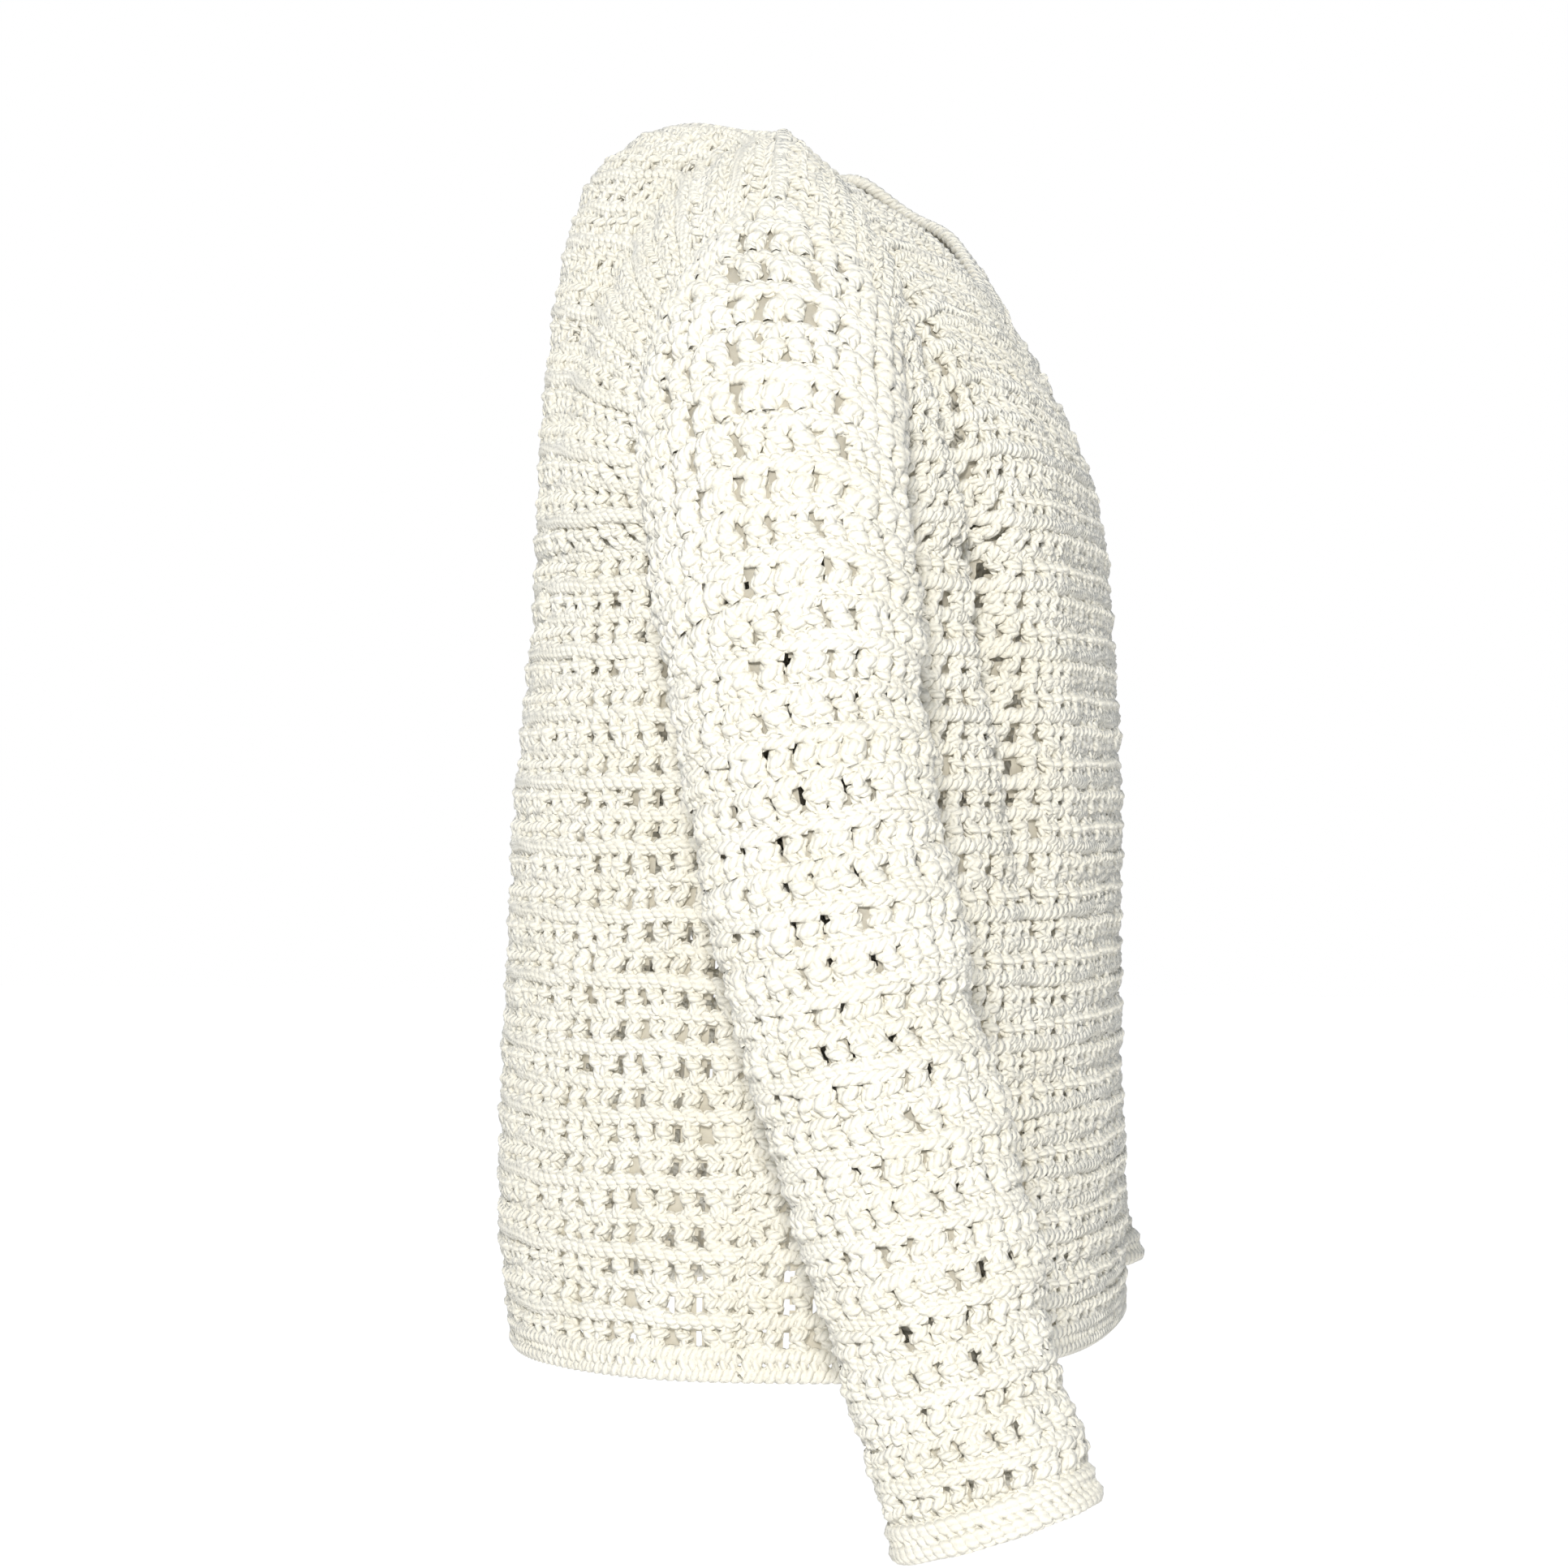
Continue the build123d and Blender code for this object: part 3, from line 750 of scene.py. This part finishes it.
# lines of (x, y, z, strength), with the depth and width of the fold; a negative depth is a ridge
FRONT_FOLDS = (
    ([(140, -56, -52, 0.2), (176, -78, -117, 0.8), (183, -94, -163, 1.0), (175, -106, -195, 1.0),
      (165, -117, -265, 1.0), (155, -124, -325, 0.7), (146, -129, -400, 0.2), (140, -132, -470, 0.0)],
     19.0, 14.0),
    ([(200, -62, -120, 0.0), (204, -74, -180, 0.7), (200, -86, -250, 1.0), (192, -98, -340, 0.8),
      (180, -110, -460, 0.0)], -4.0, 16.0),
    ([(120, -98, -130, 0.0), (120, -124, -200, 0.7), (112, -134, -290, 1.0), (104, -138, -400, 0.0)],
     -4.0, 24.0),
)


def front_folds(p):
    """The front sinks in a long soft fold beside each armhole."""
    out = 0
    for side in (-1, 1):
        for line, depth, width in FRONT_FOLDS:
            out = out + valley(p, [(side * x, y, z, share) for x, y, z, share in line], depth, width)
    return out


def add_panel(front):
    node = "front_panel" if front else "back_panel"
    patch = panel_patch(front, fold=front_folds if front else None)
    core = ground(patch, outside_neck(0.0), node + "_core", CORE)
    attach(core, "torso")
    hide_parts(node)
    seed = 100 if front else 200
    pieces = []
    for k, (a, b) in enumerate(bands(patch.rows, PANEL_BAND)):
        yarn = stitch_rows(patch, a, b, outside_neck(4.0), seed + a)
        pieces.append(add(yarn, "%s_stitches_%d" % (node, k + 1), "body_yarn", "torso"))
    return patch, core, pieces


def add_sleeve(side):
    node = word_of(side) + "_sleeve"
    patch = sleeve_patch(side, fold=wavy(side))
    core = ground(patch, everywhere, node + "_core", CORE, depth=0.3, open_from=9.0)
    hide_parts(node)
    pieces = []
    for k, (a, b) in enumerate(bands(SLEEVE_ROWS, SLEEVE_BAND)):
        seed = 300 + 100 * (side > 0) + a
        yarn = stitch_rows(patch, a, b, everywhere, seed, SLEEVE_FULL, SLEEVE_SPREAD)
        pieces.append(add(yarn, "%s_stitches_%d" % (node, k + 1), "body_yarn", None))
    return patch, core, pieces


def add_hem():
    def ring(z):
        v = (z - HEM_Z) / (UNDERARM_Z - HEM_Z)
        u = np.linspace(0, 1, 121) ** 1.3
        back = low_row(False, u, v)
        front = low_row(True, u, v)
        flip = [-1, 1, 1]
        loop = np.concatenate([front * flip, front[::-1][1:], back[1:], (back[::-1] * flip)[1:]])
        loop[:, 2] = z
        out = respace(loop, HEM_POSTS * 4 + 1)
        flat = out - [0, -5, z]
        flat[:, 2] = 0
        return out + flat / np.linalg.norm(flat, axis=1, keepdims=True)

    grid = np.array([ring(z) for z in np.linspace(HEM_Z + 1.5, HEM_Z + HEM_BAND + 1.0, 5)])
    patch = Patch(grid, 1, HEM_POSTS, closed=True)
    add(border(patch, 11, 1.12), "hem_border", "border_yarn", "torso", "hem_edging")


def add_cuff(side):
    word = word_of(side)
    row = hang(SLEEVE[-1], side)
    rings = [ring_at(row, CUFF_POSTS * 4, shift, 1.0 + shift / 12) for shift in (0.5, 4, 8, 12.5)]
    patch = Patch(np.array(rings) * [side, 1, 1], 1, CUFF_POSTS, closed=True)
    add(border(patch, 13 + side, 1.35), word + "_cuff_border", "border_yarn",
        word + "_sleeve", word + "_cuff_edging")


def top_height(patches):
    """Function that gives the cloth's height near the neck at x, y."""
    pts = np.concatenate([p.p.reshape(-1, 3) for p in patches])
    pts = pts[(np.abs(pts[:, 0]) < 150) & (pts[:, 2] > -175)]

    def find(x, y):
        z = []
        for a, b in zip(x, y):
            d = (pts[:, 0] - a) ** 2 + (pts[:, 1] - b) ** 2
            k = np.argsort(d)[:12]
            w = 1 / (d[k] + 1.0)
            z.append((pts[k, 2] * w).sum() / w.sum())
        return np.array(z)
    return find


def add_neck(patches):
    find = top_height(patches)
    a = np.linspace(0, 2 * np.pi, NECK_POSTS * 4 + 1)
    rows = []
    for grow in (5.5, 3, 0, -3, -5.0):
        x = (NECK_A + grow) * np.cos(a)
        y = NECK_CENTRE_Y + (NECK_B + grow) * np.sin(a)
        z = find(x, y) + 0.3
        for _ in range(3):
            z = np.r_[z[-2], z, z[1]]
            z = (z[:-2] + 2 * z[1:-1] + z[2:]) / 4
        rows.append(np.stack([x, y, z], -1))
    patch = Patch(np.array(rows), 1, NECK_POSTS, closed=True)
    if patch.n[..., 2].mean() < 0:
        patch.n = -patch.n
    add(border(patch, 17, 0.95), "neck_border", "border_yarn", "torso", "neck_edging")


def add_seams(side):
    """The joins of one side; each stands for the CAD seam of the same name."""
    word = word_of(side)

    def join(name, path, up, size, lateral, body="torso"):
        return add(rope(path, up, size, lateral), name + "_join_" + word, "seam_yarn", body,
                   name + "_seam_" + word)

    ring = armhole_ring(HALF_WIDTH_CHEST + 2.4, 120, -2.6) * [side, 1, 1]
    out = ring - np.array([side * HALF_WIDTH_CHEST, SEAM_Y_CHEST, SLEEVE_START_Z])
    out /= np.linalg.norm(out, axis=1, keepdims=True)
    join("armhole", ring, out, 2.3, 1.7)

    z = np.linspace(HEM_Z + HEM_BAND, UNDERARM_Z, 60)
    f = chest_share(z)
    x = HALF_WIDTH_HEM + (HALF_WIDTH_CHEST - HALF_WIDTH_HEM) * f - 3.2
    y = SEAM_Y_HEM + (SEAM_Y_CHEST - SEAM_Y_HEM) * f
    up = np.tile([side, 0, 0], (len(z), 1)).astype(float)
    join("side", np.stack([side * x, y, z], -1), up, 2.1, 2.3)

    line = settle(along(SHOULDER, np.linspace(0, 1, 60)) * [side, 1, 1]) - [0, 0, 2.6]
    join("shoulder", line, np.tile([0, 0, 1.0], (60, 1)), 2.0, 1.9)

    patch, _, pieces = sleeves[side]
    r = np.linspace(0.1, patch.rows - 0.1, 240)
    path, up = patch.at(r, np.zeros(240), np.full(240, MIDDLE - 0.2))
    pieces.append(join("sleeve", path, up, 2.0, 1.9, None))


front_patch, front_core, front_yarn = add_panel(True)
back_patch, back_core, back_yarn = add_panel(False)
sleeves = {side: add_sleeve(side) for side in (-1, 1)}
add_hem()
add_neck((front_patch, back_patch))
for side in (-1, 1):
    add_cuff(side)
for side in (-1, 1):
    add_seams(side)

for side, (_, core, pieces) in sleeves.items():
    for obj in [core] + pieces:
        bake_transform(obj)


# ---------------------------------------------------------------- studio

def studio():
    scene = bpy.context.scene
    cam = bpy.data.cameras.new("camera")
    cam.lens = 100.0
    cam.sensor_width = 36.0
    obj = bpy.data.objects.new("camera", cam)
    yaw = math.radians(CAMERA_YAW)
    obj.location = CAMERA_AIM + Vector((-math.cos(yaw), -math.sin(yaw), 0)) * CAMERA_DISTANCE
    obj.rotation_euler = (CAMERA_AIM - obj.location).to_track_quat("-Z", "Y").to_euler()
    scene.collection.objects.link(obj)
    scene.camera = obj

    for name, spot, power, size, colour in LIGHTS:
        lamp = bpy.data.lights.new(name, "AREA")
        lamp.shape = "DISK"
        lamp.size = size
        lamp.energy = power
        lamp.color = colour
        holder = bpy.data.objects.new(name, lamp)
        holder.location = spot
        holder.rotation_euler = (LIGHTS_AIM - holder.location).to_track_quat("-Z", "Y").to_euler()
        scene.collection.objects.link(holder)

    world = bpy.data.worlds.new("studio")
    scene.world = world
    world.use_nodes = True
    nt = world.node_tree
    sky = nt.nodes["Background"]
    sky.inputs["Color"].default_value = (0.74, 0.84, 1.0, 1)
    sky.inputs["Strength"].default_value = 0.30
    white = nt.nodes.new("ShaderNodeBackground")
    white.inputs["Color"].default_value = (1, 1, 1, 1)
    white.inputs["Strength"].default_value = 1.0
    path = nt.nodes.new("ShaderNodeLightPath")
    mix = nt.nodes.new("ShaderNodeMixShader")
    nt.links.new(path.outputs["Is Camera Ray"], mix.inputs[0])
    nt.links.new(sky.outputs[0], mix.inputs[1])
    nt.links.new(white.outputs[0], mix.inputs[2])
    nt.links.new(mix.outputs[0], nt.nodes["World Output"].inputs["Surface"])

    floor_mesh = bpy.data.meshes.new("floor")
    z = cad_box[0][2] - FLOOR_GAP
    floor_mesh.from_pydata([(-6, -6, z), (6, -6, z), (6, 6, z), (-6, 6, z)], [], [(0, 1, 2, 3)])
    floor = bpy.data.objects.new("floor", floor_mesh)
    paint = bpy.data.materials.new("floor_paint")
    paint.use_nodes = True
    coat = paint.node_tree.nodes["Principled BSDF"]
    coat.inputs["Base Color"].default_value = (0.18, 0.18, 0.18, 1)
    coat.inputs["Roughness"].default_value = 0.9
    coat.inputs["Emission Color"].default_value = (1, 1, 1, 1)
    coat.inputs["Emission Strength"].default_value = 0.95
    floor_mesh.materials.append(paint)
    scene.collection.objects.link(floor)
    scene.view_settings.view_transform = "Standard"


studio()

sheets = [(front_core, front_yarn, FRONT_FLAT), (back_core, back_yarn, BACK_FLAT)]
sheets += [(core, pieces, SLEEVE_FLAT) for _, core, pieces in sleeves.values()]
for core, pieces, flat in sheets:
    area_of(core)
